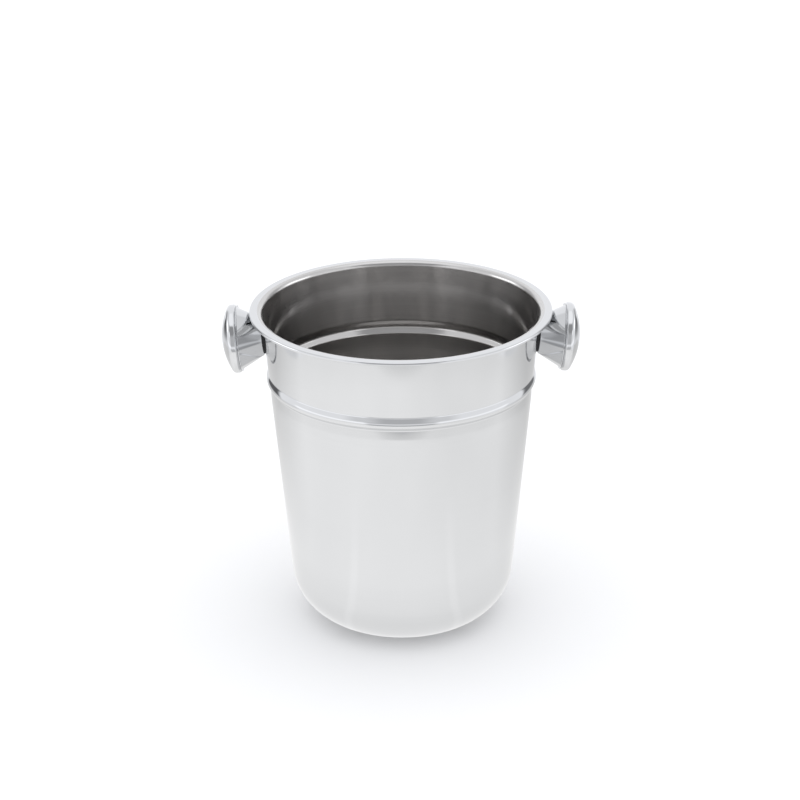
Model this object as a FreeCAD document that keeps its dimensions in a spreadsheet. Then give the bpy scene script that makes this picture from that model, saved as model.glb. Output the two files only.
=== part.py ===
"""Polished steel champagne bucket with two mushroom knobs.

The bucket is one drawn sheet: a dished bottom, a tapered body, a half-round
bead, a short collar and a flat rim whose edge is folded under. Each knob is a
spun neck and a domed cap on a weld nut, held through the collar by a screw.

Millimetres, +Z up. The origin is the centre of the floor that the bucket
stands on, and the knobs lie along X.
"""
import FreeCAD, Part
import math
import os

import Sketcher

# Driving dimensions: (alias, value, what it is). Radii are from the bucket's
# axis, or from the knob's own axis where the alias starts with a knob piece.
# Heights are above the floor; reaches are along the knob's axis, outwards from
# the collar's outer face.
DIMENSIONS = (
    ("sheet", 0.7, "thickness of the bucket's steel"),
    ("total_height", 221.0, "top face of the rim"),
    ("rim_radius", 100.0, "outer edge of the rim"),
    ("hem_gap", 1.0, "space between the rim's two leaves"),
    ("hem_inner_radius", 94.4, "cut edge of the folded leaf"),
    ("hem_bend", 0.45, "inside bend of the hem"),
    ("lip_bend", 2.8, "bend between collar and rim, measured under the rim"),
    ("collar_top_radius", 92.3, "collar's outer face, extended to the rim"),
    ("waist_radius", 88.7, "collar's narrowest place"),
    ("waist_height", 178.6, "crease between collar and bead"),
    ("waist_bend", 3.5, "bend in that crease"),
    ("bead_radius", 89.8, "the bead's outermost place"),
    ("bead_upper_height", 175.6, "upper corner of the bead"),
    ("bead_upper_bend", 8.0, "bend at that corner"),
    ("bead_lower_height", 172.8, "lower corner of the bead"),
    ("bead_lower_bend", 3.5, "bend at that corner"),
    ("body_top_radius", 87.3, "body under the bead"),
    ("body_top_height", 169.6, "crease between body and bead"),
    ("body_top_bend", 1.5, "bend in that crease"),
    ("shoulder_radius", 87.2, "where the body stops widening"),
    ("shoulder_height", 160.8, "height of that place"),
    ("shoulder_bend", 80.0, "soft bend there"),
    ("body_foot_radius", 72.9, "body's outer face, extended to the floor"),
    ("bottom_bend", 36.0, "large round at the foot of the body"),
    ("panel_rise", 1.5, "how far the bottom panel is pushed up"),
    ("panel_radius", 31.0, "flat part of the bottom panel"),
    ("foot_ring_radius", 35.0, "inner edge of the ring that it stands on"),
    ("panel_bend", 3.0, "bends of the bottom panel"),
    ("knob_height", 201.3, "where the knob's axis leaves the collar"),
    ("hole_radius", 2.75, "clearance hole for the knob screw"),
    ("hole_overcut", 3.0, "how far the hole's cutter reaches on each side of the wall"),
    ("foot_seal_thickness", 0.8, "rubber between collar and knob"),
    ("foot_seal_radius", 11.6, "outer radius of that rubber"),
    ("neck_sheet", 0.8, "thickness of the spun neck"),
    ("neck_foot_radius", 12.4, "narrow end of the neck"),
    ("neck_mouth_radius", 20.5, "wide end of the neck"),
    ("neck_flange_radius", 21.9, "flange on the wide end"),
    ("seam_chamfer", 0.5, "chamfer that opens the seam on the flange"),
    ("neck_foot_bend", 1.2, "bend at the narrow end"),
    ("neck_flange_bend", 0.4, "bend under the flange"),
    ("seam_reach", 16.8, "plane where neck and cap meet"),
    ("cap_sheet", 0.8, "thickness of the cap"),
    ("cap_radius", 22.8, "widest place of the cap"),
    ("cap_rise", 11.1, "top of the dome beyond the seam"),
    ("cap_dome", 44.5, "sphere radius of the dome"),
    ("cap_shoulder_rise", 5.0, "corner of dome and rim beyond the seam"),
    ("cap_shoulder_bend", 3.0, "round of that corner"),
    ("cap_hem_bend", 1.6, "round where the cap turns in"),
    ("cap_edge_radius", 18.4, "cut edge of the cap"),
    ("nut_flange_radius", 5.5, "welded flange of the nut"),
    ("nut_flange_thickness", 1.0, "its thickness"),
    ("nut_flats", 8.0, "nut, across flats"),
    ("nut_length", 5.5, "nut with its flange"),
    ("nut_bore", 2.5, "thread bore, M5"),
    ("inner_seal_thickness", 1.2, "rubber under the screw's washer"),
    ("inner_seal_radius", 6.0, "its outer radius"),
    ("seal_overlap", 1.5, "how far a seal's blank reaches into the wall that trims it"),
    ("washer_thickness", 1.0, "plain M5 washer"),
    ("washer_radius", 5.0, "its outer radius"),
    ("washer_hole", 2.65, "its hole"),
    ("screw_radius", 2.45, "M5 shank, with running clearance in the bore"),
    ("screw_length", 12.0, "under the head"),
    ("screw_head_radius", 4.75, "button head"),
    ("screw_head_height", 2.75, "button head"),
    ("screw_head_edge", 0.7, "straight edge of the head"),
    ("screw_head_face", 2.6, "flat face of the head"),
    ("screw_socket", 3.0, "hexagon socket, across flats"),
    ("screw_socket_depth", 1.6, "its depth"),
)


class Size:
    """A length or angle that knows both its value and its sheet expression."""

    def __init__(self, value, text):
        self.value = value
        self.text = text

    def _join(self, other, sign, value):
        return Size(value, "(%s %s %s)" % (self.text, sign, as_size(other).text))

    def __add__(self, other):
        return self._join(other, "+", self.value + as_size(other).value)

    def __sub__(self, other):
        return self._join(other, "-", self.value - as_size(other).value)

    def __mul__(self, other):
        return self._join(other, "*", self.value * as_size(other).value)

    def __truediv__(self, other):
        return self._join(other, "/", self.value / as_size(other).value)


def as_size(number):
    return number if isinstance(number, Size) else Size(number, repr(number))


def arc_tangent(ratio):
    return Size(math.degrees(math.atan(ratio.value)), "atan(%s)" % ratio.text)


def cosine(angle):
    return Size(math.cos(math.radians(angle.value)), "cos(%s)" % angle.text)


def sine(angle):
    return Size(math.sin(math.radians(angle.value)), "sin(%s)" % angle.text)


def make_sheet(doc):
    """Fill the spreadsheet and give back each size by its alias."""
    sheet = doc.addObject("Spreadsheet::Sheet", "dims")
    sizes = {}
    for row, (alias, value, meaning) in enumerate(DIMENSIONS, start=1):
        sheet.set("A%d" % row, meaning)
        sheet.set("B%d" % row, str(value))
        sheet.setAlias("B%d" % row, alias)
        sizes[alias] = Size(value, "dims." + alias)
    doc.recompute()
    return sizes


# ---------------------------------------------------------------- sketching

HORIZONTAL_AXIS, VERTICAL_AXIS = -1, -2
START, END, CENTRE = 1, 2, 3


def vector(point):
    return FreeCAD.Vector(point[0], point[1], 0)


class Skin:
    """A run of straight lines, rounded at its corners, drawn in a sketch.

    Each corner is (radius from the axis, height, bend), with bend None where
    the corner stays sharp. When dome is given, the run starts with an arc of
    that radius, centred on the axis, whose top is the first corner.
    """

    def __init__(self, sketch, corners, dome=None):
        self.sketch = sketch
        self.corners = corners
        self.dome = dome
        points = [(x.value, y.value) for x, y, bend in corners]
        bends = [bend.value if bend else 0.0 for x, y, bend in corners]
        self._draw(points, bends, dome.value if dome else None)

    def _draw(self, points, bends, dome):
        """Add the lines and arcs; self.lines, self.arcs and self.turns say where."""
        self.lines, self.arcs, self.turns = [], {}, {}
        self.dome_arc = None
        start = points[0]
        if dome:
            start = self._draw_dome(points, dome)
        last = len(points) - 1
        for i in range(1, len(points)):
            corner = points[i]
            if i == last or not bends[i]:
                self._line(start, corner)
                start = corner
                continue
            start = self._draw_bend(i, start, corner, points[i + 1], bends[i])

    def _draw_dome(self, points, radius):
        apex, corner = points[0], points[1]
        centre = (0.0, apex[1] - radius)
        reach = math.hypot(corner[0], corner[1] - centre[1])
        bearing = math.atan2(corner[1] - centre[1], corner[0])
        angle = bearing + math.acos(radius / reach)
        circle = Part.Circle(vector(centre), FreeCAD.Vector(0, 0, 1), radius)
        arc = Part.ArcOfCircle(circle, angle, math.pi / 2)
        self.dome_arc = self.sketch.addGeometry(arc, False)
        return (radius * math.cos(angle), centre[1] + radius * math.sin(angle))

    def _draw_bend(self, i, before, corner, after, radius):
        into = unit(before, corner)
        out = unit(corner, after)
        turn = into[0] * out[1] - into[1] * out[0]
        angle = math.acos(max(-1.0, min(1.0, into[0] * out[0] + into[1] * out[1])))
        cut = radius * math.tan(angle / 2)
        first = (corner[0] - cut * into[0], corner[1] - cut * into[1])
        second = (corner[0] + cut * out[0], corner[1] + cut * out[1])
        side = math.copysign(1.0, turn)
        centre = (first[0] - side * radius * into[1], first[1] + side * radius * into[0])
        ends = [math.atan2(p[1] - centre[1], p[0] - centre[0]) for p in (first, second)]
        if side < 0:
            ends.reverse()
        self._line(before, first)
        circle = Part.Circle(vector(centre), FreeCAD.Vector(0, 0, 1), radius)
        arc = Part.ArcOfCircle(circle, ends[0], ends[1])
        self.arcs[i] = self.sketch.addGeometry(arc, False)
        self.turns[i] = side
        return second

    def _line(self, a, b):
        self.lines.append(self.sketch.addGeometry(Part.LineSegment(vector(a), vector(b)), False))

    def join(self):
        """Tie neighbouring lines and arcs together, tangent at every bend."""
        add = self.sketch.addConstraint
        if self.dome_arc is not None:
            add(Sketcher.Constraint("Tangent", self.dome_arc, START, self.lines[0], START))
        for i in range(1, len(self.lines)):
            before, after = self.lines[i - 1], self.lines[i]
            if i not in self.arcs:
                add(Sketcher.Constraint("Coincident", before, END, after, START))
                continue
            first, second = (START, END) if self.turns[i] > 0 else (END, START)
            add(Sketcher.Constraint("Tangent", before, END, self.arcs[i], first))
            add(Sketcher.Constraint("Tangent", self.arcs[i], second, after, START))

    def place(self):
        """Fix every corner and bend to the spreadsheet."""
        sketch = self.sketch
        if self.dome:
            on_axis(sketch, self.dome_arc, END)
            on_axis(sketch, self.dome_arc, CENTRE)
            bind(sketch, "Radius", (self.dome_arc,), self.dome)
            bind(sketch, "DistanceY", (self.dome_arc, END), self.corners[0][1])
        else:
            fix_point(sketch, self.lines[0], START, self.corners[0])
        for i in range(1, len(self.lines)):
            if i not in self.arcs:
                fix_point(sketch, self.lines[i], START, self.corners[i])
                continue
            x, y, bend = self.corners[i]
            point = sketch.addGeometry(Part.Point(vector((x.value, y.value))), True)
            for line in (self.lines[i - 1], self.lines[i]):
                sketch.addConstraint(Sketcher.Constraint("PointOnObject", point, START, line))
            fix_point(sketch, point, START, self.corners[i])
            bind(sketch, "Radius", (self.arcs[i],), bend)
        fix_point(sketch, self.lines[-1], END, self.corners[-1])


def unit(a, b):
    length = math.hypot(b[0] - a[0], b[1] - a[1])
    return ((b[0] - a[0]) / length, (b[1] - a[1]) / length)


def on_axis(sketch, geometry, position):
    sketch.addConstraint(Sketcher.Constraint("PointOnObject", geometry, position, VERTICAL_AXIS))


def bind(sketch, kind, references, size):
    """Add a dimension and bind it to the spreadsheet."""
    index = sketch.addConstraint(Sketcher.Constraint(kind, *references, size.value))
    sketch.setExpression("Constraints[%d]" % index, size.text)


def fix_point(sketch, geometry, position, corner):
    """Hold a point at its radius and height, on an axis where one of them is 0."""
    for kind, size, axis in (("DistanceX", corner[0], VERTICAL_AXIS),
                             ("DistanceY", corner[1], HORIZONTAL_AXIS)):
        if size.value == 0:
            sketch.addConstraint(Sketcher.Constraint("PointOnObject", geometry, position, axis))
        else:
            bind(sketch, kind, (geometry, position), size)


def offset_corners(corners, thickness, dome):
    """The corners and bends of a skin's other face, to its left or under its dome."""
    points = [(x.value, y.value) for x, y, bend in corners]
    side = -1 if dome else 1
    shift = side * thickness.value
    if dome:
        apex, corner = points[0], points[1]
        centre = (0.0, apex[1] - dome.value)
        reach = math.hypot(corner[0], corner[1] - centre[1])
        bearing = math.atan2(corner[1] - centre[1], corner[0])
        angle = bearing + math.acos(dome.value / reach)
        points[0] = (dome.value * math.cos(angle), centre[1] + dome.value * math.sin(angle))
    ways = [unit(points[i], points[i + 1]) for i in range(len(points) - 1)]
    moved = []
    for i, (x, y) in enumerate(points):
        before, after = ways[max(i - 1, 0)], ways[min(i, len(ways) - 1)]
        stretch = 1 + before[0] * after[0] + before[1] * after[1]
        normal = (-before[1] - after[1], before[0] + after[0])
        moved.append((x + shift * normal[0] / stretch, y + shift * normal[1] / stretch))
    if dome:
        moved[0] = (0.0, corners[0][1].value - thickness.value)
    turns = [0.0] + [ways[i][0] * ways[i + 1][1] - ways[i][1] * ways[i + 1][0]
                     for i in range(len(ways) - 1)]
    result = []
    for i, (x, y) in enumerate(moved):
        bend = corners[i][2]
        if bend:
            bend = bend - thickness if turns[i] * side > 0 else bend + thickness
        result.append((as_size(x), as_size(y), bend))
    return result


def draw_strip(sketch, corners, thickness, dome=None):
    """Draw sheet metal of even thickness: a bound skin and its parallel face."""
    outer = Skin(sketch, corners, dome)
    inner_dome = dome - thickness if dome else None
    inner = Skin(sketch, offset_corners(corners, thickness, dome), inner_dome)
    outer.join()
    inner.join()
    outer.place()
    for i, arc in inner.arcs.items():
        bind(sketch, "Radius", (arc,), inner.corners[i][2])
    for a, b in zip(outer.lines, inner.lines):
        sketch.addConstraint(Sketcher.Constraint("Parallel", a, b))
        bind(sketch, "Distance", (a, START, b), thickness)
    if dome:
        on_axis(sketch, inner.dome_arc, END)
        on_axis(sketch, inner.dome_arc, CENTRE)
        bind(sketch, "Radius", (inner.dome_arc,), inner_dome)
        first_ends = (outer.dome_arc, END), (inner.dome_arc, END)
    else:
        first_ends = (outer.lines[0], START), (inner.lines[0], START)
    last_ends = (outer.lines[-1], END), (inner.lines[-1], END)
    first_cut = close_end(sketch, first_ends)
    if not dome:
        hold_start(sketch, corners[0], inner.lines[0], first_cut)
    last_cut = close_end(sketch, last_ends)
    sketch.addConstraint(Sketcher.Constraint("Perpendicular", last_cut, outer.lines[-1]))


def close_end(sketch, ends):
    """Join two faces of a strip with a straight cut, and give back the cut."""
    points = [sketch.getPoint(geometry, position) for geometry, position in ends]
    cut = sketch.addGeometry(Part.LineSegment(points[0], points[1]), False)
    sketch.addConstraint(Sketcher.Constraint("Coincident", cut, START, *ends[0]))
    sketch.addConstraint(Sketcher.Constraint("Coincident", cut, END, *ends[1]))
    return cut


def hold_start(sketch, corner, inner_line, cut):
    """Keep a strip's first cut parallel to the axis, on it where its radius is 0."""
    if corner[0].value == 0:
        on_axis(sketch, inner_line, START)
    else:
        sketch.addConstraint(Sketcher.Constraint("Vertical", cut))


def draw_outline(sketch, corners):
    """Draw a closed outline, bound corner by corner, ending where it starts."""
    skin = Skin(sketch, corners + corners[:1])
    skin.join()
    first, last = skin.lines[0], skin.lines[-1]
    sketch.addConstraint(Sketcher.Constraint("Coincident", last, END, first, START))
    for line, corner in zip(skin.lines, corners):
        fix_point(sketch, line, START, corner)


def draw_hexagon(sketch, flats):
    """A regular hexagon about the sketch's origin, by its width across flats."""
    reach = flats / (2 * math.cos(math.radians(30)))
    tips = [(reach.value * math.cos(math.radians(60 * k)), reach.value * math.sin(math.radians(60 * k)))
            for k in range(6)]
    lines = [sketch.addGeometry(Part.LineSegment(vector(tips[k]), vector(tips[(k + 1) % 6])), False)
             for k in range(6)]
    circle = Part.Circle(FreeCAD.Vector(0, 0, 0), FreeCAD.Vector(0, 0, 1), reach.value)
    ring = sketch.addGeometry(circle, True)
    for k in range(6):
        sketch.addConstraint(Sketcher.Constraint("Coincident", lines[k], END, lines[(k + 1) % 6], START))
        sketch.addConstraint(Sketcher.Constraint("PointOnObject", lines[k], START, ring))
        if k:
            sketch.addConstraint(Sketcher.Constraint("Equal", lines[0], lines[k]))
    sketch.addConstraint(Sketcher.Constraint("Coincident", ring, CENTRE, HORIZONTAL_AXIS, START))
    sketch.addConstraint(Sketcher.Constraint("PointOnObject", lines[0], START, HORIZONTAL_AXIS))
    bind(sketch, "Radius", (ring,), reach)


# ---------------------------------------------------------------- features

def add_sketch(body, name, plane="XZ_Plane"):
    sketch = body.newObject("Sketcher::SketchObject", name)
    origin = [f for f in body.Origin.OriginFeatures if f.Role == plane][0]
    sketch.AttachmentSupport = [(origin, "")]
    sketch.MapMode = "FlatFace"
    return sketch


def add_body(doc, label):
    body = doc.addObject("PartDesign::Body", label)
    body.Label = label
    return body


def revolve(body, sketch):
    turned = body.newObject("PartDesign::Revolution", "Turned")
    turned.Profile = sketch
    turned.ReferenceAxis = (sketch, ["V_Axis"])
    turned.Angle = 360
    body.Document.recompute()
    return turned


def turned_body(doc, label, corners):
    """A solid of revolution about the body's own Z, from a closed outline."""
    body = add_body(doc, label)
    sketch = add_sketch(body, "Outline")
    draw_outline(sketch, corners)
    revolve(body, sketch)
    return body


def sheet_body(doc, label, corners, thickness, dome=None):
    """Spun sheet metal about the body's own Z, from its outer skin."""
    body = add_body(doc, label)
    sketch = add_sketch(body, "Section")
    draw_strip(sketch, corners, thickness, dome)
    revolve(body, sketch)
    return body


def round_edge(shape, radius, height):
    """The name of the round edge about Z with this radius and height."""
    for number, edge in enumerate(shape.Edges, start=1):
        curve = edge.Curve
        if isinstance(curve, Part.Circle) and abs(curve.Radius - radius.value) < 1e-4 \
                and abs(curve.Center.z - height.value) < 1e-4:
            return "Edge%d" % number
    raise RuntimeError("no round edge at radius %g, height %g" % (radius.value, height.value))


def cut_volume(feature, before):
    """Stop if a cutting feature has taken nothing away."""
    if feature.Shape.Volume >= before - 1e-6:
        raise RuntimeError("%s cuts nothing" % feature.Label)


# ---------------------------------------------------------------- the bucket

def knob_axis(size):
    """Where the knob's axis leaves the collar, and how far the collar leans."""
    widening = size["collar_top_radius"] - size["waist_radius"]
    slope = widening / (size["total_height"] - size["sheet"] - size["waist_height"])
    wall_radius = size["waist_radius"] + slope * (size["knob_height"] - size["waist_height"])
    return wall_radius, arc_tangent(slope)


def shell_corners(size):
    """The bucket's outer skin, from the centre of its bottom to the hem's edge."""
    zero = Size(0.0, "0")
    under_rim = size["total_height"] - size["sheet"]
    fold = size["rim_radius"] - size["sheet"]
    leaf = under_rim - size["hem_gap"]
    return [
        (zero, size["panel_rise"], None),
        (size["panel_radius"], size["panel_rise"], size["panel_bend"]),
        (size["foot_ring_radius"], zero, size["panel_bend"]),
        (size["body_foot_radius"], zero, size["bottom_bend"]),
        (size["shoulder_radius"], size["shoulder_height"], size["shoulder_bend"]),
        (size["body_top_radius"], size["body_top_height"], size["body_top_bend"]),
        (size["bead_radius"], size["bead_lower_height"], size["bead_lower_bend"]),
        (size["bead_radius"], size["bead_upper_height"], size["bead_upper_bend"]),
        (size["waist_radius"], size["waist_height"], size["waist_bend"]),
        (size["collar_top_radius"], under_rim, size["lip_bend"]),
        (fold, under_rim, size["hem_bend"]),
        (fold, leaf, size["hem_bend"]),
        (size["hem_inner_radius"], leaf, None),
    ]


def make_shell(doc, size):
    """The drawn bucket, with a screw hole through the collar for each knob."""
    body = sheet_body(doc, "bucket_shell", shell_corners(size), size["sheet"])
    before = body.Shape.Volume
    wall_radius, lean = knob_axis(size)
    sketch = add_sketch(body, "ScrewHole")
    draw_hole_section(sketch, wall_radius, lean, size)
    hole = body.newObject("PartDesign::Groove", "KnobHole")
    hole.Profile = sketch
    hole.ReferenceAxis = (sketch, ["Axis0"])
    hole.Angle = 360
    doc.recompute()
    cut_volume(hole, before)
    both = body.newObject("PartDesign::Mirrored", "KnobHoles")
    both.Originals = [hole]
    plane = [f for f in body.Origin.OriginFeatures if f.Role == "YZ_Plane"][0]
    both.MirrorPlane = (plane, [""])
    body.Tip = both
    doc.recompute()
    cut_volume(both, hole.Shape.Volume)
    return body


def draw_hole_section(sketch, wall_radius, lean, size):
    """Half the hole's section, beside its own leaning axis."""
    overcut = size["hole_overcut"]
    angle = -math.radians(lean.value)
    along = FreeCAD.Vector(math.cos(angle), math.sin(angle), 0)
    across = FreeCAD.Vector(-along.y, along.x, 0)
    mouth = FreeCAD.Vector(wall_radius.value, size["knob_height"].value, 0)
    inner = mouth - along * overcut.value
    outer = mouth + along * overcut.value
    radius = size["hole_radius"].value
    ring = [inner, outer, outer + across * radius, inner + across * radius]
    axis = sketch.addGeometry(Part.LineSegment(inner, outer), True)
    lines = [sketch.addGeometry(Part.LineSegment(ring[k], ring[(k + 1) % 4]), False)
             for k in range(4)]
    centre = sketch.addGeometry(Part.Point(mouth), True)
    add = sketch.addConstraint
    for k in range(4):
        add(Sketcher.Constraint("Coincident", lines[k], END, lines[(k + 1) % 4], START))
    add(Sketcher.Constraint("Parallel", lines[0], lines[2]))
    add(Sketcher.Constraint("Perpendicular", lines[0], lines[1]))
    add(Sketcher.Constraint("Perpendicular", lines[0], lines[3]))
    add(Sketcher.Constraint("Coincident", axis, START, lines[0], START))
    add(Sketcher.Constraint("Coincident", axis, END, lines[0], END))
    add(Sketcher.Constraint("Symmetric", axis, START, axis, END, centre, START))
    fix_point(sketch, centre, START, (wall_radius, size["knob_height"]))
    bind(sketch, "Distance", (axis,), overcut * 2)
    bind(sketch, "Distance", (lines[1],), size["hole_radius"])
    turn = sketch.addConstraint(Sketcher.Constraint("Angle", HORIZONTAL_AXIS, START, axis, START, angle))
    sketch.setExpression("Constraints[%d]" % turn, "-1 * " + lean.text)


# ---------------------------------------------------------------- the knobs

def put_on_knob_axis(item, side, size, reach=None):
    """Stand an item's own Z along one knob's axis, at a reach from the collar."""
    wall_radius, lean = knob_axis(size)
    reach = reach or as_size(0.0)
    item.Placement = FreeCAD.Placement(
        FreeCAD.Vector(0, 0, 0), FreeCAD.Rotation(FreeCAD.Vector(0, 1, 0), side * 90))
    item.setExpression("Placement.Base.x", "%d * %s" % (side, (wall_radius + reach * cosine(lean)).text))
    item.setExpression("Placement.Base.z", (size["knob_height"] - reach * sine(lean)).text)
    item.setExpression("Placement.Rotation.Angle", "%d * (90 deg + %s)" % (side, lean.text))


def neck_corners(size):
    """The neck's outer skin, from its screw hole to the edge of its flange."""
    foot = size["foot_seal_thickness"]
    flange = size["seam_reach"] - size["neck_sheet"]
    return [
        (size["hole_radius"], foot, None),
        (size["neck_foot_radius"], foot, size["neck_foot_bend"]),
        (size["neck_mouth_radius"], flange, size["neck_flange_bend"]),
        (size["neck_flange_radius"], flange, None),
    ]


def cap_corners(size):
    """The cap's outer skin, from the dome's top to the turned-in edge on the seam."""
    seam = size["seam_reach"]
    return [
        (Size(0.0, "0"), seam + size["cap_rise"], None),
        (size["cap_radius"], seam + size["cap_shoulder_rise"], size["cap_shoulder_bend"]),
        (size["cap_radius"], seam, size["cap_hem_bend"]),
        (size["cap_edge_radius"], seam, None),
    ]


def make_neck(doc, label, size):
    """The spun neck, with its flange chamfered where the cap sits on it."""
    body = sheet_body(doc, label, neck_corners(size), size["neck_sheet"])
    spun = body.Tip
    edge = round_edge(spun.Shape, size["neck_flange_radius"], size["seam_reach"])
    dressed = body.newObject("PartDesign::Chamfer", "SeamChamfer")
    dressed.Base = (spun, [edge])
    dressed.setExpression("Size", size["seam_chamfer"].text)
    doc.recompute()
    cut_volume(dressed, spun.Shape.Volume)
    return body


def make_nut(doc, label, size):
    """Weld nut: a round flange and a hexagon, bored for the screw."""
    base = size["foot_seal_thickness"] + size["neck_sheet"]
    top = base + size["nut_flange_thickness"]
    body = turned_body(doc, label, [
        (size["nut_bore"], base, None),
        (size["nut_flange_radius"], base, None),
        (size["nut_flange_radius"], top, None),
        (size["nut_bore"], top, None),
    ])
    hexagon = add_sketch(body, "Hexagon", "XY_Plane")
    hexagon.setExpression("AttachmentOffset.Base.z", top.text)
    draw_hexagon(hexagon, size["nut_flats"])
    bore = hexagon.addGeometry(
        Part.Circle(FreeCAD.Vector(0, 0, 0), FreeCAD.Vector(0, 0, 1), size["nut_bore"].value), False)
    hexagon.addConstraint(Sketcher.Constraint("Coincident", bore, CENTRE, HORIZONTAL_AXIS, START))
    bind(hexagon, "Radius", (bore,), size["nut_bore"])
    pad = body.newObject("PartDesign::Pad", "Wrenching")
    pad.Profile = hexagon
    pad.setExpression("Length", (size["nut_length"] - size["nut_flange_thickness"]).text)
    doc.recompute()
    return body


def make_screw(doc, label, size):
    """Button-head screw from inside the bucket, with a hexagon socket."""
    zero = Size(0.0, "0")
    seat = zero - size["sheet"] - size["inner_seal_thickness"] - size["washer_thickness"]
    top = seat - size["screw_head_height"]
    body = turned_body(doc, label, [
        (zero, top, None),
        (size["screw_head_face"], top, None),
        (size["screw_head_radius"], seat - size["screw_head_edge"], None),
        (size["screw_head_radius"], seat, None),
        (size["screw_radius"], seat, None),
        (size["screw_radius"], seat + size["screw_length"], None),
        (zero, seat + size["screw_length"], None),
    ])
    before = body.Shape.Volume
    socket = add_sketch(body, "Socket", "XY_Plane")
    socket.setExpression("AttachmentOffset.Base.z", top.text)
    draw_hexagon(socket, size["screw_socket"])
    pocket = body.newObject("PartDesign::Pocket", "HexSocket")
    pocket.Profile = socket
    pocket.Reversed = True
    pocket.setExpression("Length", size["screw_socket_depth"].text)
    doc.recompute()
    cut_volume(pocket, before)
    return body


def make_washer(doc, label, size):
    inner = Size(0.0, "0") - size["sheet"] - size["inner_seal_thickness"]
    outer = inner - size["washer_thickness"]
    return turned_body(doc, label, [
        (size["washer_hole"], outer, None),
        (size["washer_radius"], outer, None),
        (size["washer_radius"], inner, None),
        (size["washer_hole"], inner, None),
    ])


def wall_cone(doc, name, size, inset):
    """The collar's outer face as a solid cone, moved in by inset."""
    cone = doc.addObject("Part::Cone", name)
    base, top = size["waist_height"], size["total_height"] - size["sheet"]
    cone.setExpression("Radius1", (size["waist_radius"] - inset).text)
    cone.setExpression("Radius2", (size["collar_top_radius"] - inset).text)
    cone.setExpression("Height", (top - base).text)
    cone.setExpression("Placement.Base.z", base.text)
    return cone


def ring_on_knob_axis(doc, name, side, size, span, radius):
    """A bored ring along a knob's axis, between two reaches, longer than needed."""
    ring, bore = (doc.addObject("Part::Cylinder", name + tail) for tail in ("_disc", "_bore"))
    for item, value in ((ring, radius), (bore, size["hole_radius"])):
        item.setExpression("Radius", value.text)
        item.setExpression("Height", (span[1] - span[0]).text)
        put_on_knob_axis(item, side, size, span[0])
    cut = doc.addObject("Part::Cut", name + "_ring")
    cut.Base, cut.Tool = ring, bore
    return cut


def make_seals(doc, side, name, size):
    """Two rubber rings, each saddle-shaped where it meets the round collar."""
    wall_radius, lean = knob_axis(size)
    overlap = size["seal_overlap"]
    zero = Size(0.0, "0")
    outer = doc.addObject("Part::Cut", name + "_foot_seal")
    outer.Base = ring_on_knob_axis(doc, name + "_outer", side, size,
                                   (zero - overlap, size["foot_seal_thickness"]),
                                   size["foot_seal_radius"])
    outer.Tool = wall_cone(doc, name + "_outer_wall", size, zero)
    inner = doc.addObject("Part::Common", name + "_inner_seal")
    start = zero - size["sheet"] - size["inner_seal_thickness"]
    inner.Base = ring_on_knob_axis(doc, name + "_inner", side, size,
                                   (start, start + overlap + size["inner_seal_thickness"]),
                                   size["inner_seal_radius"])
    inner.Tool = wall_cone(doc, name + "_inner_wall", size, size["sheet"] / cosine(lean))
    return [outer, inner]


def make_knob(doc, side, name, size):
    """Every piece of one knob; side is 1 for +X and -1 for -X."""
    turned = [
        make_neck(doc, name + "_knob_neck", size),
        sheet_body(doc, name + "_knob_cap", cap_corners(size), size["cap_sheet"], size["cap_dome"]),
        make_nut(doc, name + "_knob_nut", size),
        make_washer(doc, name + "_washer", size),
        make_screw(doc, name + "_screw", size),
    ]
    for body in turned:
        put_on_knob_axis(body, side, size)
    return turned + make_seals(doc, side, name, size)


# ---------------------------------------------------------------- the model

def check(doc, parts):
    for item in doc.Objects:
        bad = [state for state in item.State if state in ("Invalid", "Error")]
        if bad:
            raise RuntimeError("%s: %s" % (item.Label, bad))
        if item.TypeId == "Sketcher::SketchObject" and not item.FullyConstrained:
            raise RuntimeError("%s in %s is not fully constrained" % (item.Label, item.getParent().Label))
    for item in parts:
        if item.Shape.isNull() or not item.Shape.isValid() or len(item.Shape.Solids) != 1:
            raise RuntimeError("%s has no single valid solid" % item.Label)


def main():
    doc = FreeCAD.newDocument("champagne_bucket")
    size = make_sheet(doc)
    parts = [make_shell(doc, size)]
    for side, name in ((-1, "left"), (1, "right")):
        parts += make_knob(doc, side, name, size)
    doc.recompute()
    check(doc, parts)
    os.makedirs("parts", exist_ok=True)
    for item in parts:
        item.Shape.exportStep(os.path.join("parts", item.Label + ".step"))
        print("%-18s %10.1f mm3" % (item.Label, item.Shape.Volume))


main()
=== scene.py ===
"""Looks of the champagne bucket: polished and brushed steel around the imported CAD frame."""
import math

import bpy
from mathutils import Matrix, Vector


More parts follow.
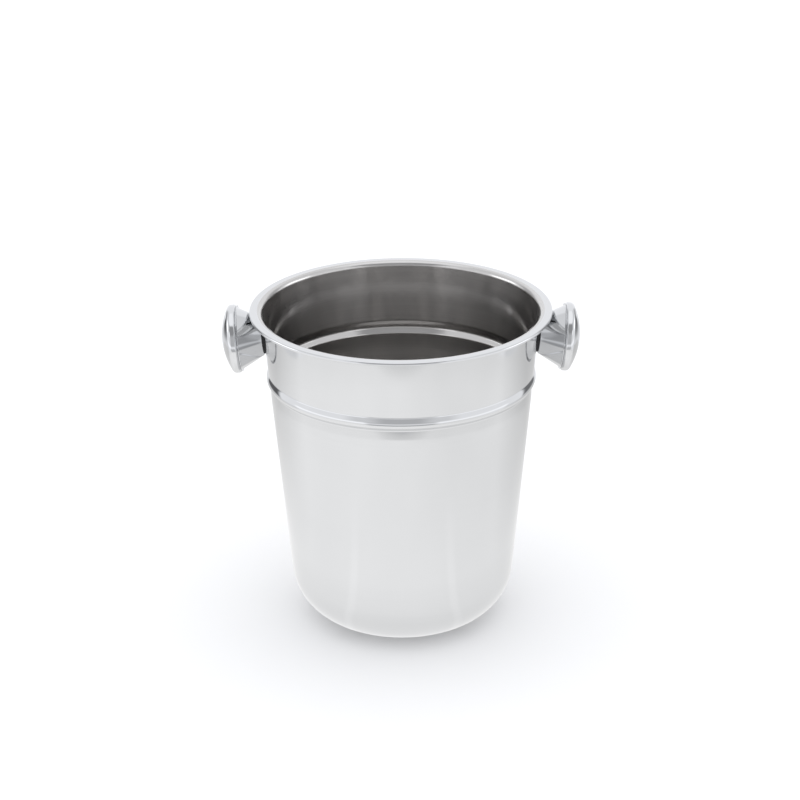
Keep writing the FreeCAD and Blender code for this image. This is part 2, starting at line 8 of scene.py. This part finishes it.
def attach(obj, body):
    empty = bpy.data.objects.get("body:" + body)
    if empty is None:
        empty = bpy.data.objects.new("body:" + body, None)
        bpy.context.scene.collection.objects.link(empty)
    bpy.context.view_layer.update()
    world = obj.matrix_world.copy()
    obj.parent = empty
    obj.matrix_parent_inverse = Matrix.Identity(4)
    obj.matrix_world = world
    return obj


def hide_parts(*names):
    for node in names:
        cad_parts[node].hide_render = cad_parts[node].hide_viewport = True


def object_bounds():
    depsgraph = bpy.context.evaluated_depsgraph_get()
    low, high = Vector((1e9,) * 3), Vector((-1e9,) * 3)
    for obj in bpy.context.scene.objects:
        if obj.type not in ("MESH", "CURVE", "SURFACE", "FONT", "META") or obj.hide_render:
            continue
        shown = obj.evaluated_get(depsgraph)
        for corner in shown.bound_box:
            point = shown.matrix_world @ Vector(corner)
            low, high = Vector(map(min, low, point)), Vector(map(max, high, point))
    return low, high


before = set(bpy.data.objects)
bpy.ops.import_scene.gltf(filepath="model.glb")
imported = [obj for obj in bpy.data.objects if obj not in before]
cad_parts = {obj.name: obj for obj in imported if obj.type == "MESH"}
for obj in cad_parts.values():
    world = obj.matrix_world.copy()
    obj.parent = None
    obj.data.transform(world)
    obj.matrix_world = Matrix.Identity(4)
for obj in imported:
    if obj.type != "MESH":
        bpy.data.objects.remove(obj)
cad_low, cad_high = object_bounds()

MM = 0.001

# ------------------------------------------------------------------ camera

RIM_TOP = 221.0
CAMERA_DISTANCE = 1.5
AIM_HEIGHT = 0.2215
CAMERA_PITCH = math.radians(24.28)
FOCAL_LENGTH = 99.2
FRAME_SHIFT = (-0.0023, 0.0743)
FRAME_ROLL = math.radians(-0.4)


def add_camera():
    """The photograph's viewpoint: in front, looking down at the middle of the bucket."""
    target = Vector((0, 0, (cad_low.z + AIM_HEIGHT) / 2))
    data = bpy.data.cameras.new("camera")
    data.lens = FOCAL_LENGTH
    data.sensor_width = 36
    data.shift_x, data.shift_y = FRAME_SHIFT
    data.clip_start, data.clip_end = 0.05, 60
    camera = bpy.data.objects.new("camera", data)
    back = Vector((0, -math.cos(CAMERA_PITCH), math.sin(CAMERA_PITCH)))
    camera.location = target + back * CAMERA_DISTANCE
    level = (-back).to_track_quat("-Z", "Y").to_matrix()
    camera.rotation_euler = (level @ Matrix.Rotation(FRAME_ROLL, 3, "Z")).to_euler()
    bpy.context.scene.collection.objects.link(camera)
    bpy.context.scene.camera = camera


# ------------------------------------------------------------------ sections
#
# A section is a list of corners (radius, height, bend) in mm. It runs so that
# the outside of the metal lies to its right. Stations are the points along it,
# each with the unit normal of the run before it and of the run after it.


def unit(a, b):
    length = math.hypot(b[0] - a[0], b[1] - a[1])
    return ((b[0] - a[0]) / length, (b[1] - a[1]) / length)


def other_face(corners, thickness):
    """The corners of a sheet's other face, which lies to the left of this one."""
    points = [c[:2] for c in corners]
    ways = [unit(a, b) for a, b in zip(points, points[1:])]
    face = []
    for i, (x, y) in enumerate(points):
        before, after = ways[max(i - 1, 0)], ways[min(i, len(ways) - 1)]
        stretch = thickness / (1 + before[0] * after[0] + before[1] * after[1])
        turn = before[0] * after[1] - before[1] * after[0]
        bend = corners[i][2]
        if bend:
            bend = bend - thickness if turn > 0 else bend + thickness
        face.append((x - stretch * (before[1] + after[1]), y + stretch * (before[0] + after[0]), bend))
    return face


def stations(corners, step=6.0):
    """Points and normals along a run of corners, with arcs in steps of some degrees."""
    found = []

    def add(point, before, after):
        if found and math.dist(found[-1][0], point) < 1e-7:
            found[-1] = (found[-1][0], found[-1][1], after)
        else:
            found.append((point, before, after))

    def right(way):
        return (way[1], -way[0])

    points = [c[:2] for c in corners]
    ways = [unit(a, b) for a, b in zip(points, points[1:])]
    add(points[0], right(ways[0]), right(ways[0]))
    for i in range(1, len(points) - 1):
        into, out = ways[i - 1], ways[i]
        bend = corners[i][2]
        if not bend:
            add(points[i], right(into), right(out))
            continue
        turn = into[0] * out[1] - into[1] * out[0]
        angle = math.acos(max(-1.0, min(1.0, into[0] * out[0] + into[1] * out[1])))
        cut = bend * math.tan(angle / 2)
        first = (points[i][0] - cut * into[0], points[i][1] - cut * into[1])
        side = math.copysign(1.0, turn)
        centre = (first[0] - side * bend * into[1], first[1] + side * bend * into[0])
        count = max(3, math.ceil(math.degrees(angle) / step))
        start = math.atan2(first[1] - centre[1], first[0] - centre[0])
        for k in range(count + 1):
            a = start + side * angle * k / count
            spoke = (math.cos(a), math.sin(a))
            normal = (side * spoke[0], side * spoke[1])
            add((centre[0] + bend * spoke[0], centre[1] + bend * spoke[1]), normal, normal)
    add(points[-1], right(ways[-1]), right(ways[-1]))
    return found


def sheet_section(corners, thickness, step=6.0, tip=()):
    """A closed sheet-metal section; tip holds the points of a cut edge that isn't square."""
    outer = stations(corners, step)
    inner = stations(other_face(corners, thickness)[::-1], step)
    if tip:
        inner[0] = (tip[-1], inner[0][1], inner[0][2])
        edge = [(p, None, None) for p in tip[:-1]]
    else:
        edge = []
    return sharpen(outer + edge + inner, len(outer) - 1, len(outer) + len(edge))


def sharpen(ring, first, last):
    """Give the straight cuts between two stations, and across the start, their own normals."""
    def normal(a, b):
        way = unit(a, b)
        return (way[1], -way[0])

    for i in range(first, last):
        across = normal(ring[i][0], ring[i + 1][0])
        ring[i] = (ring[i][0], ring[i][1], across)
        ring[i + 1] = (ring[i + 1][0], across, ring[i + 1][2])
    if ring[0][0][0] > 1e-6:
        across = normal(ring[-1][0], ring[0][0])
        ring[-1] = (ring[-1][0], ring[-1][1], across)
        ring[0] = (ring[0][0], across, ring[0][2])
    return ring


def subdivide(ring, low, high, rows):
    """Split each straight run that spans low to high into even rows."""
    result = []
    for i, station in enumerate(ring):
        result.append(station)
        after = ring[(i + 1) % len(ring)]
        heights = sorted((station[0][1], after[0][1]))
        if heights[0] < low and heights[1] > high:
            cuts = [low + (high - low) * k / rows for k in range(rows + 1)]
            if station[0][1] > after[0][1]:
                cuts.reverse()
            for z in cuts:
                t = (z - station[0][1]) / (after[0][1] - station[0][1])
                x = station[0][0] + t * (after[0][0] - station[0][0])
                result.append(((x, z), station[2], station[2]))
    return result


# ------------------------------------------------------------------ turned meshes


class Mesh:
    """Vertices, faces and exact normals of one piece, in its own turned frame."""

    def __init__(self):
        self.vertices, self.faces, self.normals, self.finishes = [], [], [], []

    def vertex(self, point):
        self.vertices.append(point)
        return len(self.vertices) - 1

    def face(self, corners, normals, finish=0):
        keep = [i for i in range(len(corners)) if corners[i] != corners[i - 1]]
        if len(keep) < 3:
            return
        self.faces.append([corners[i] for i in keep])
        self.normals.append([normals[i] for i in keep])
        self.finishes.append(finish)

    def build(self, name, place, materials):
        """Make the object, standing where place says."""
        turned = place.to_3x3()
        mesh = bpy.data.meshes.new(name)
        mesh.from_pydata([place @ (Vector(p) * MM) for p in self.vertices], [], self.faces)
        for polygon, finish in zip(mesh.polygons, self.finishes):
            polygon.use_smooth = True
            polygon.material_index = finish
        flat = [turned @ Vector(n) for corner in self.normals for n in corner]
        mesh.normals_split_custom_set([n.normalized() for n in flat])
        for material in materials:
            mesh.materials.append(material)
        mesh.validate()
        piece = bpy.data.objects.new(name, mesh)
        bpy.context.scene.collection.objects.link(piece)
        return piece


def around(radius, height, angle):
    return (radius * math.cos(angle), radius * math.sin(angle), height)


def turn(ring, count, finish=lambda i: 0, skip=None):
    """Turn a closed section about Z and give back the mesh and its rings of vertex numbers.

    finish(i) is the finish of row i, and skip(i, j) leaves a cell open.
    """
    mesh = Mesh()
    angles = [2 * math.pi * k / count for k in range(count)]
    rows = []
    for point, before, after in ring:
        if point[0] < 1e-6:
            rows.append([mesh.vertex((0, 0, point[1]))] * count)
        else:
            rows.append([mesh.vertex(around(point[0], point[1], a)) for a in angles])
    for i in range(len(ring)):
        k = (i + 1) % len(ring)
        if ring[i][0][0] < 1e-6 and ring[k][0][0] < 1e-6:
            continue
        low, high = ring[i][2], ring[k][1]
        for j in range(count):
            if skip and skip(i, j):
                continue
            m = (j + 1) % count
            corners = [rows[i][j], rows[i][m], rows[k][m], rows[k][j]]
            normals = [around(*low, angles[j]), around(*low, angles[m]),
                       around(*high, angles[m]), around(*high, angles[j])]
            mesh.face(corners, normals, finish(i))
    return mesh, rows


# ------------------------------------------------------------------ materials


class Nodes:
    """The node tree of a material or world, with short ways to add and join nodes."""

    def __init__(self, owner):
        self.owner = owner
        owner.use_nodes = True
        self.tree = owner.node_tree
        self.shader = self.tree.nodes.get("Principled BSDF")

    def add(self, kind, **settings):
        node = self.tree.nodes.new(kind)
        for key, value in settings.items():
            setattr(node, key, value)
        return node

    def join(self, output, socket):
        self.tree.links.new(output, socket)

    def math(self, operation, a, b=None, clamp=False):
        node = self.add("ShaderNodeMath", operation=operation, use_clamp=clamp)
        for socket, value in zip(node.inputs, (a, b)):
            if isinstance(value, (int, float)):
                socket.default_value = value
            elif value is not None:
                self.join(value, socket)
        return node.outputs[0]

    def position(self):
        """The place on the part as x, y, z in metres."""
        coordinates = self.add("ShaderNodeTexCoord")
        parts = self.add("ShaderNodeSeparateXYZ")
        self.join(coordinates.outputs["Object"], parts.inputs[0])
        return coordinates.outputs["Object"], parts.outputs

    def combine(self, x, y, z):
        node = self.add("ShaderNodeCombineXYZ")
        for socket, value in zip(node.inputs, (x, y, z)):
            if isinstance(value, (int, float)):
                socket.default_value = value
            else:
                self.join(value, socket)
        return node.outputs[0]

    def noise(self, vector, scale, detail=2.0, roughness=0.5):
        node = self.add("ShaderNodeTexNoise")
        node.inputs["Scale"].default_value = scale
        node.inputs["Detail"].default_value = detail
        node.inputs["Roughness"].default_value = roughness
        self.join(vector, node.inputs["Vector"])
        return node.outputs["Fac"]

    def ramp(self, value, start, end, low, high, kind="LINEAR"):
        """Take start..end to low..high, and hold the value beyond both ends."""
        node = self.add("ShaderNodeMapRange", interpolation_type=kind)
        for key, limit in (("From Min", start), ("From Max", end), ("To Min", low), ("To Max", high)):
            node.inputs[key].default_value = limit
        self.join(value, node.inputs["Value"])
        return node.outputs["Result"]

    def spread(self, value, low, high):
        """Take a noise's middle range to low..high."""
        return self.ramp(value, 0.25, 0.75, low, high)

    def distance_from_axis(self, x, y):
        return self.math("SQRT", self.math("ADD", self.math("MULTIPLY", x, x), self.math("MULTIPLY", y, y)))

    def tint(self, factor, dark, light):
        node = self.add("ShaderNodeMix", data_type="RGBA")
        self.join(factor, node.inputs["Factor"])
        node.inputs[6].default_value = (*dark, 1)
        node.inputs[7].default_value = (*light, 1)
        self.join(node.outputs[2], self.shader.inputs["Base Color"])

    def bump(self, height, distance, strength=1.0):
        node = self.add("ShaderNodeBump")
        node.inputs["Strength"].default_value = strength
        node.inputs["Distance"].default_value = distance
        self.join(height, node.inputs["Height"])
        self.join(node.outputs["Normal"], self.shader.inputs["Normal"])


GROOVES = (4.0, 900.0)      # noise cells per metre along and across the tool lines
CONE_SHARE = 0.8            # how much of the radius counts as run along a section
GROOVE_SHARE = 0.55         # of the colour and roughness pattern; stains have the rest
STAIN_SCALE, WAVE_SCALE = 22.0, 14.0
UP_THE_WALL = 0.25          # anisotropic rotation that stretches shines across the tool lines
HAZE_SHARE = 0.28


def turned_steel(name, dark, light, rough, lines, anisotropy, wave, haze=None):
    """Steel finished on a lathe: fine lines around Z, soft stains and slight waves.

    rough is the range of roughness, lines the depth of the tool lines in metres,
    wave the depth of the sheet's waviness in metres. haze is the range of roughness
    of a second, wider shine that is mixed in.
    """
    nodes = Nodes(bpy.data.materials.new(name))
    place, (x, y, z) = nodes.position()
    along, across = GROOVES
    profile = nodes.math("ADD", nodes.math("MULTIPLY", nodes.distance_from_axis(x, y), CONE_SHARE), z)
    grooves = nodes.noise(nodes.combine(nodes.math("MULTIPLY", x, along), nodes.math("MULTIPLY", y, along),
                                        nodes.math("MULTIPLY", profile, across)), 1.0, 3.0, 0.7)
    stains = nodes.noise(place, STAIN_SCALE, 3.0, 0.55)
    both = nodes.math("ADD", nodes.math("MULTIPLY", grooves, GROOVE_SHARE),
                      nodes.math("MULTIPLY", stains, 1 - GROOVE_SHARE))
    nodes.tint(nodes.spread(both, 0.0, 1.0), dark, light)
    nodes.join(nodes.spread(both, *rough), nodes.shader.inputs["Roughness"])
    waves = nodes.noise(place, WAVE_SCALE, 1.0, 0.4)
    height = nodes.math("ADD", nodes.math("MULTIPLY", grooves, lines), nodes.math("MULTIPLY", waves, wave))
    nodes.bump(height, 1.0)
    shines = [nodes.shader]
    if haze:
        shines.append(nodes.add("ShaderNodeBsdfPrincipled"))
        for share in ("Base Color", "Normal"):
            nodes.join(nodes.shader.inputs[share].links[0].from_socket, shines[1].inputs[share])
        nodes.join(nodes.spread(both, *haze), shines[1].inputs["Roughness"])
        mix = nodes.add("ShaderNodeMixShader")
        mix.inputs["Fac"].default_value = HAZE_SHARE
        for number, shine in enumerate(shines, 1):
            nodes.join(shine.outputs["BSDF"], mix.inputs[number])
        nodes.join(mix.outputs["Shader"], nodes.tree.nodes["Material Output"].inputs["Surface"])
    for shine in shines:
        shine.inputs["Metallic"].default_value = 1.0
        shine.inputs["Anisotropic"].default_value = anisotropy
        shine.inputs["Anisotropic Rotation"].default_value = UP_THE_WALL
    return nodes.owner


def rubber(name):
    """Matt black rubber with a fine grain."""
    nodes = Nodes(bpy.data.materials.new(name))
    grain = nodes.noise(nodes.position()[0], 900.0, 3.0, 0.6)
    nodes.tint(nodes.spread(grain, 0.0, 1.0), (0.008, 0.008, 0.009), (0.022, 0.022, 0.024))
    nodes.join(nodes.spread(grain, 0.55, 0.8), nodes.shader.inputs["Roughness"])
    nodes.bump(grain, 0.0001, 0.6)
    return nodes.owner


def hardware(name):
    """Plain machined steel of screws, washers and nuts."""
    nodes = Nodes(bpy.data.materials.new(name))
    grain = nodes.noise(nodes.position()[0], 260.0, 4.0, 0.6)
    nodes.tint(nodes.spread(grain, 0.0, 1.0), (0.48, 0.48, 0.49), (0.60, 0.60, 0.61))
    nodes.join(nodes.spread(grain, 0.22, 0.38), nodes.shader.inputs["Roughness"])
    nodes.bump(grain, 0.00003, 0.5)
    nodes.shader.inputs["Metallic"].default_value = 1.0
    return nodes.owner


polished = turned_steel("polished_steel", (0.625, 0.63, 0.638), (0.645, 0.65, 0.658), (0.05, 0.075),
                        0.00000005, 0.0, 0.00002)
brushed = turned_steel("brushed_steel", (0.52, 0.51, 0.50), (0.61, 0.60, 0.59), (0.08, 0.105),
                       0.000001, 0.9, 0.00002, haze=(0.28, 0.31))

# ------------------------------------------------------------------ the bucket shell

SHEET = 0.7
UNDER_RIM = RIM_TOP - SHEET
FOLD = 100.0 - SHEET
LEAF = UNDER_RIM - 1.0
WAIST = (88.7, 178.6)
COLLAR_TOP = (92.3, UNDER_RIM)
SHELL_CORNERS = [
    (0.0, 1.5, None), (31.0, 1.5, 3.0), (35.0, 0.0, 3.0), (72.9, 0.0, 36.0),
    (87.2, 160.8, 80.0), (87.3, 169.6, 1.5), (89.8, 172.8, 3.5), (89.8, 175.6, 8.0),
    (*WAIST, 3.5), (*COLLAR_TOP, 2.8), (FOLD, UNDER_RIM, 0.45), (FOLD, LEAF, 0.45), (94.4, LEAF, None),
]
KNOB_HEIGHT = 201.3
SLOPE = (COLLAR_TOP[0] - WAIST[0]) / (COLLAR_TOP[1] - WAIST[1])
LEAN = math.atan(SLOPE)
KNOB_FOOT = WAIST[0] + SLOPE * (KNOB_HEIGHT - WAIST[1])
HOLE_RADIUS = 2.75
HOLE_COLUMNS = 3
HOLE_ROWS = 6
HOLE_REACH = 8.4
SHELL_TURNS = 192


def knob_frame(side):
    """Places a knob piece's own Z along its axis, from the collar outwards."""
    foot = Vector((side * KNOB_FOOT * MM, 0, KNOB_HEIGHT * MM))
    return Matrix.Translation(foot) @ Matrix.Rotation(side * (math.pi / 2 + LEAN), 4, "Y")


def make_shell():
    low, high = KNOB_HEIGHT - HOLE_REACH, KNOB_HEIGHT + HOLE_REACH
    ring = subdivide(sheet_section(SHELL_CORNERS, SHEET), low, high, HOLE_ROWS)
    walls = [i for i, s in enumerate(ring) if low - 1e-6 < s[0][1] < high + 1e-6]
    outer_rows = walls[:HOLE_ROWS + 1]
    inner_rows = walls[HOLE_ROWS + 1:]
    rim_edge = max(range(len(ring)), key=lambda i: ring[i][0][0])
    on_top = [i for i in range(rim_edge, len(ring)) if ring[i][0][1] > RIM_TOP - 1e-3]
    inside_from = on_top[-1]

    def is_open(i, j):
        if i not in outer_rows[:-1] and i not in inner_rows[:-1]:
            return False
        return min(j % (SHELL_TURNS // 2), (-1 - j) % (SHELL_TURNS // 2)) < HOLE_COLUMNS

    mesh, rows = turn(ring, SHELL_TURNS, lambda i: int(i >= inside_from), is_open)
    for middle in (0, SHELL_TURNS // 2):
        rims = []
        for wall_rows, finish in ((outer_rows, 0), (inner_rows, 1)):
            rims.append(fill_around_hole(mesh, ring, rows, wall_rows, middle, finish))
        outer, inner = rims[0], rims[1][::-1]
        start = mesh.vertices[outer[0]]
        lined_up = min(range(len(inner)), key=lambda k: math.dist(mesh.vertices[inner[k]], start))
        inner = inner[lined_up:] + inner[:lined_up]
        side = math.cos(2 * math.pi * middle / SHELL_TURNS)
        axis = Vector((side * math.cos(LEAN), 0, -math.sin(LEAN)))
        centre = Vector((side * KNOB_FOOT, 0, KNOB_HEIGHT))
        for k in range(len(outer)):
            m = (k + 1) % len(outer)
            corners = [outer[m], outer[k], inner[k], inner[m]]
            normals = []
            for c in corners:
                spoke = Vector(mesh.vertices[c]) - centre
                normals.append(-(spoke - axis * spoke.dot(axis)).normalized())
            mesh.face(corners, normals)
    piece = mesh.build("bucket_shell_sheet", Matrix.Identity(4), [polished, brushed])
    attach(piece, "root")
    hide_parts("bucket_shell")
    return piece


def fill_around_hole(mesh, ring, rows, wall_rows, middle, finish):
    """Mesh the collar between a square of cells and the round hole, and give back the hole's edge."""
    count = SHELL_TURNS
    top, bottom = wall_rows[-1], wall_rows[0]
    left, right = -HOLE_COLUMNS, HOLE_COLUMNS
    path = [(bottom, c) for c in range(left, right)]
    path += [(r, right) for r in wall_rows[:-1]]
    path += [(top, c) for c in range(right, left, -1)]
    path += [(r, left) for r in wall_rows[:0:-1]]
    normal = ring[bottom][2]
    first, last = ring[bottom][0], ring[top][0]
    middle_angle = 2 * math.pi * middle / count
    centre_x = first[0] + (last[0] - first[0]) * (KNOB_HEIGHT - first[1]) / (last[1] - first[1])
    edge = [rows[r][(middle + c) % count] for r, c in path]
    angles = [2 * math.pi * (middle + c) / count for r, c in path]
    flat = [(centre_x * math.sin(2 * math.pi * c / count), ring[r][0][1] - KNOB_HEIGHT) for r, c in path]
    loops = [(edge, angles)]
    for share in (0.45, 0.8, 1.0):
        loop, loop_angles = [], []
        for across, up in flat:
            length = math.hypot(across, up)
            hole = (across / length * HOLE_RADIUS, up / length * HOLE_RADIUS * math.cos(LEAN))
            u = across + (hole[0] - across) * share
            v = up + (hole[1] - up) * share
            t = (KNOB_HEIGHT + v - first[1]) / (last[1] - first[1])
            radius = first[0] + (last[0] - first[0]) * t
            angle = middle_angle + math.asin(u / radius)
            loop.append(mesh.vertex(around(radius, KNOB_HEIGHT + v, angle)))
            loop_angles.append(angle)
        loops.append((loop, loop_angles))
    for (a, a_angles), (b, b_angles) in zip(loops, loops[1:]):
        for k in range(len(a)):
            m = (k + 1) % len(a)
            corners = [a[k], a[m], b[m], b[k]]
            normals = [around(*normal, x) for x in (a_angles[k], a_angles[m], b_angles[m], b_angles[k])]
            mesh.face(corners, normals, finish)
    return loops[-1][0]


# ------------------------------------------------------------------ the knobs

SEAM = 16.8
KNOB_SHEET = 0.8
KNOB_TURNS = 96
NECK_CORNERS = [(HOLE_RADIUS, 0.8, None), (12.4, 0.8, 1.2), (20.5, SEAM - KNOB_SHEET, 0.4),
                (21.9, SEAM - KNOB_SHEET, None)]
NECK_TIP = [(21.9, SEAM - 0.5), (21.4, SEAM)]
CAP_RADIUS = 22.8
CAP_APEX = SEAM + 11.1
CAP_DOME = 44.5
CAP_SHOULDER = (CAP_RADIUS, SEAM + 5.0)


def cap_corners():
    """The cap's outer skin; its dome is a wide bend that starts on the axis."""
    drop = CAP_SHOULDER[1] - (CAP_APEX - CAP_DOME)
    bearing = math.atan2(drop, CAP_SHOULDER[0])
    fall = math.pi / 2 - (bearing + math.acos(CAP_DOME / math.hypot(CAP_SHOULDER[0], drop)))
    corner = CAP_DOME * math.tan(fall / 2)
    return [(18.4, SEAM, None), (CAP_RADIUS, SEAM, 1.6), (*CAP_SHOULDER, 3.0),
            (corner, CAP_APEX, CAP_DOME), (0.0, CAP_APEX, None)]


def make_knob(side, name):
    place = knob_frame(side)
    neck_ring = sheet_section(NECK_CORNERS, KNOB_SHEET, 6.0, NECK_TIP)
    neck = turn(neck_ring, KNOB_TURNS)[0].build(name + "_neck_sheet", place, [polished])
    cap_ring = sheet_section(cap_corners(), KNOB_SHEET, 4.0)
    cap = turn(cap_ring, KNOB_TURNS)[0].build(name + "_cap_sheet", place, [polished])
    for piece, node in ((neck, name + "_knob_neck"), (cap, name + "_knob_cap")):
        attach(piece, "root")
        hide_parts(node)


# ------------------------------------------------------------------ studio


FLOOR_RADIUS = 8.0
FLOOR_CORNERS = [(FLOOR_RADIUS * math.cos(math.pi * k / 64), FLOOR_RADIUS * math.sin(math.pi * k / 64))
                 for k in range(128)]
TABLE_CORNERS = ((-0.46, -0.45), (0.46, -0.45), (0.46, 0.42), (-0.46, 0.42))
TABLE_LIGHT = (1.17, 1.23)
# How the table's light changes along x, y or the distance from the middle, in
# metres: (from, to, share at the first, share at the second).
ALONG_Y = ((-0.415, -0.45, 1.0, 0.75), (-0.02, 0.26, 1.0, 0.70))
ALONG_X = ((-0.05, 0.25, 1.0, 0.92),)
# The table's glow is painted light in place of a lit table top; the first OUTWARDS dip, close to the
# bucket's foot, is a painted contact shadow.
OUTWARDS = ((0.08, 0.15, 0.88, 1.0), (0.40, 0.46, 1.0, 0.93))
# Two bright streaks run outwards from the middle, left and right of the front.
STREAK_BEARING = 0.68
STREAK_ACROSS = (0.02, 0.09, 0.04, 0.0)
STREAK_ALONG = (0.16, 0.26, 1.0, 0.0)


def add_stage(name, corners, material):
    mesh = bpy.data.meshes.new(name)
    mesh.from_pydata([(x, y, 0) for x, y in corners], [], [list(range(len(corners)))])
    mesh.materials.append(material)
    stage = bpy.data.objects.new(name, mesh)
    bpy.context.scene.collection.objects.link(stage)
    return stage


def add_floor():
    """A plain pale floor, and a glowing table top, painted light that only the steel mirrors."""
    nodes = Nodes(bpy.data.materials.new("studio_white"))
    grain = nodes.noise(nodes.position()[0], 1.5)
    nodes.tint(nodes.spread(grain, 0.0, 1.0), (0.86, 0.86, 0.865), (0.88, 0.88, 0.885))
    nodes.shader.inputs["Roughness"].default_value = 0.9
    nodes.shader.inputs["Specular IOR Level"].default_value = 0.0
    add_stage("studio_floor", FLOOR_CORNERS, nodes.owner).visible_glossy = False

    nodes = Nodes(bpy.data.materials.new("studio_table"))
    nodes.shader.inputs["Base Color"].default_value = (0, 0, 0, 1)
    nodes.shader.inputs["Specular IOR Level"].default_value = 0.0
    nodes.shader.inputs["Emission Color"].default_value = (1, 1, 1, 1)
    place, (x, y, z) = nodes.position()
    reach = nodes.distance_from_axis(x, y)
    glow = nodes.spread(nodes.noise(place, 4.0), *TABLE_LIGHT)
    # Painted light: the table glows instead of being lit, and its glow is darkened close to the middle as a
    # painted contact shadow.
    for measure, changes in ((y, ALONG_Y), (x, ALONG_X), (reach, OUTWARDS)):
        for change in changes:
            glow = nodes.math("MULTIPLY", glow, nodes.ramp(measure, *change))
    bearing = nodes.math("ARCTAN2", nodes.math("ABSOLUTE", x), nodes.math("MULTIPLY", y, -1.0))
    aside = nodes.math("ABSOLUTE", nodes.math("SUBTRACT", bearing, STREAK_BEARING))
    streak = nodes.math("MULTIPLY", nodes.ramp(aside, *STREAK_ACROSS, "SMOOTHSTEP"),
                        nodes.ramp(reach, *STREAK_ALONG))
    glow = nodes.math("MULTIPLY", glow, nodes.math("ADD", streak, 1.0))
    nodes.join(glow, nodes.shader.inputs["Emission Strength"])
    table = add_stage("studio_table", TABLE_CORNERS, nodes.owner)
    table.visible_camera = table.visible_diffuse = table.visible_shadow = False


# What the steel mirrors: (azimuth from, to, elevation from, to, soft edge, light),
# in degrees, with azimuth 0 towards -Y and 90 towards +X. Later lines lie on top,
# and where none lies the light is CEILING. Camera and matt surfaces see ROOM_LIGHT.
ALL_ROUND = (-180, 180)
STUDIO = (
    (*ALL_ROUND, -90, 30, 4, 0.64),
    (-30, 30, -15, -7, 3, 1.15),
    (-48, 48, 28, 62, 6, 0.40),
    (-122, -29, -60, 30, 4, 1.12),
    (29, 122, -60, 30, 4, 1.12),
    (-44, -20, -2, 20, 8, 0.88),
    (20, 44, -2, 20, 8, 0.88),
    (-98, -29, -16, -6, 3, 1.45),
    (29, 98, -16, -6, 3, 1.40),
    (98, 262, -90, -18, 3, 0.90),
    (-262, -98, -90, -18, 3, 0.90),
    (143, 217, -16, 63, 6, 1.15),
    (-217, -143, -16, 63, 6, 1.15),
    (-150, -122, -16, 4, 4, 0.14),
    (122, 150, -16, 4, 4, 0.22),
    (-52, -34, 19, 35, 3, 1.40),
    (34, 50, 19, 33, 3, 1.35),
    (-112, -84, 10, 26, 4, 2.60),
    (84, 112, 10, 26, 4, 2.40),
    (*ALL_ROUND, 62, 100, 4, 1.30),
)
CEILING = 0.95
STUDIO_TINT = (0.985, 0.995, 1.02)
ROOM_LIGHT = (1.30, 1.31, 1.33)


def add_world():
    """Soft boxes left and right, a pale backdrop with dark gaps beside it, and a pale ceiling."""
    world = bpy.data.worlds.new("studio")
    world.cycles.sampling_method = "NONE"
    bpy.context.scene.world = world
    nodes = Nodes(world)

    def span(value, low, high, soft):
        """1 where value lies between low and high, with soft edges."""
        return nodes.math("MULTIPLY", nodes.ramp(value, low - soft, low + soft, 0.0, 1.0, "SMOOTHSTEP"),
                          nodes.ramp(value, high + soft, high - soft, 0.0, 1.0, "SMOOTHSTEP"))

    parts = nodes.add("ShaderNodeSeparateXYZ")
    nodes.join(nodes.add("ShaderNodeTexCoord").outputs["Generated"], parts.inputs[0])
    x, y, z = parts.outputs
    azimuth = nodes.math("DEGREES", nodes.math("ARCTAN2", x, nodes.math("MULTIPLY", y, -1.0)))
    elevation = nodes.math("DEGREES", nodes.math("ARCSINE", z))
    light = nodes.add("ShaderNodeValue").outputs[0]
    light.default_value = CEILING
    for west, east, low, high, soft, strength in STUDIO:
        share = span(elevation, low, high, soft)
        if (west, east) != ALL_ROUND:
            share = nodes.math("MULTIPLY", share, span(azimuth, west, east, soft))
        mix = nodes.add("ShaderNodeMix")
        nodes.join(share, mix.inputs["Factor"])
        nodes.join(light, mix.inputs["A"])
        mix.inputs["B"].default_value = strength
        light = mix.outputs["Result"]
    colour = nodes.add("ShaderNodeCombineColor")
    for socket, share in zip(colour.inputs, STUDIO_TINT):
        nodes.join(nodes.math("MULTIPLY", light, share), socket)
    path = nodes.add("ShaderNodeLightPath")
    mix = nodes.add("ShaderNodeMix", data_type="RGBA")
    seen = nodes.math("MAXIMUM", path.outputs["Is Diffuse Ray"], path.outputs["Is Camera Ray"])
    nodes.join(seen, mix.inputs["Factor"])
    nodes.join(colour.outputs[0], mix.inputs[6])
    mix.inputs[7].default_value = (*ROOM_LIGHT, 1)
    nodes.join(mix.outputs[2], nodes.tree.nodes["Background"].inputs["Color"])


# ------------------------------------------------------------------ scene

bpy.context.scene.view_settings.view_transform = "Standard"
bpy.context.scene.cycles.max_bounces = 24
bpy.context.scene.cycles.glossy_bounces = 24
add_camera()
add_floor()
add_world()
make_shell()
for side, name in ((-1, "left"), (1, "right")):
    make_knob(side, name)

black_rubber, plain_steel = rubber("black_rubber"), hardware("plain_steel")
for name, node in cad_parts.items():
    node.data.materials.clear()
    if name.endswith("_seal"):
        node.data.materials.append(black_rubber)
    elif name == "bucket_shell":
        node.data.materials.append(brushed)
    else:
        node.data.materials.append(plain_steel)
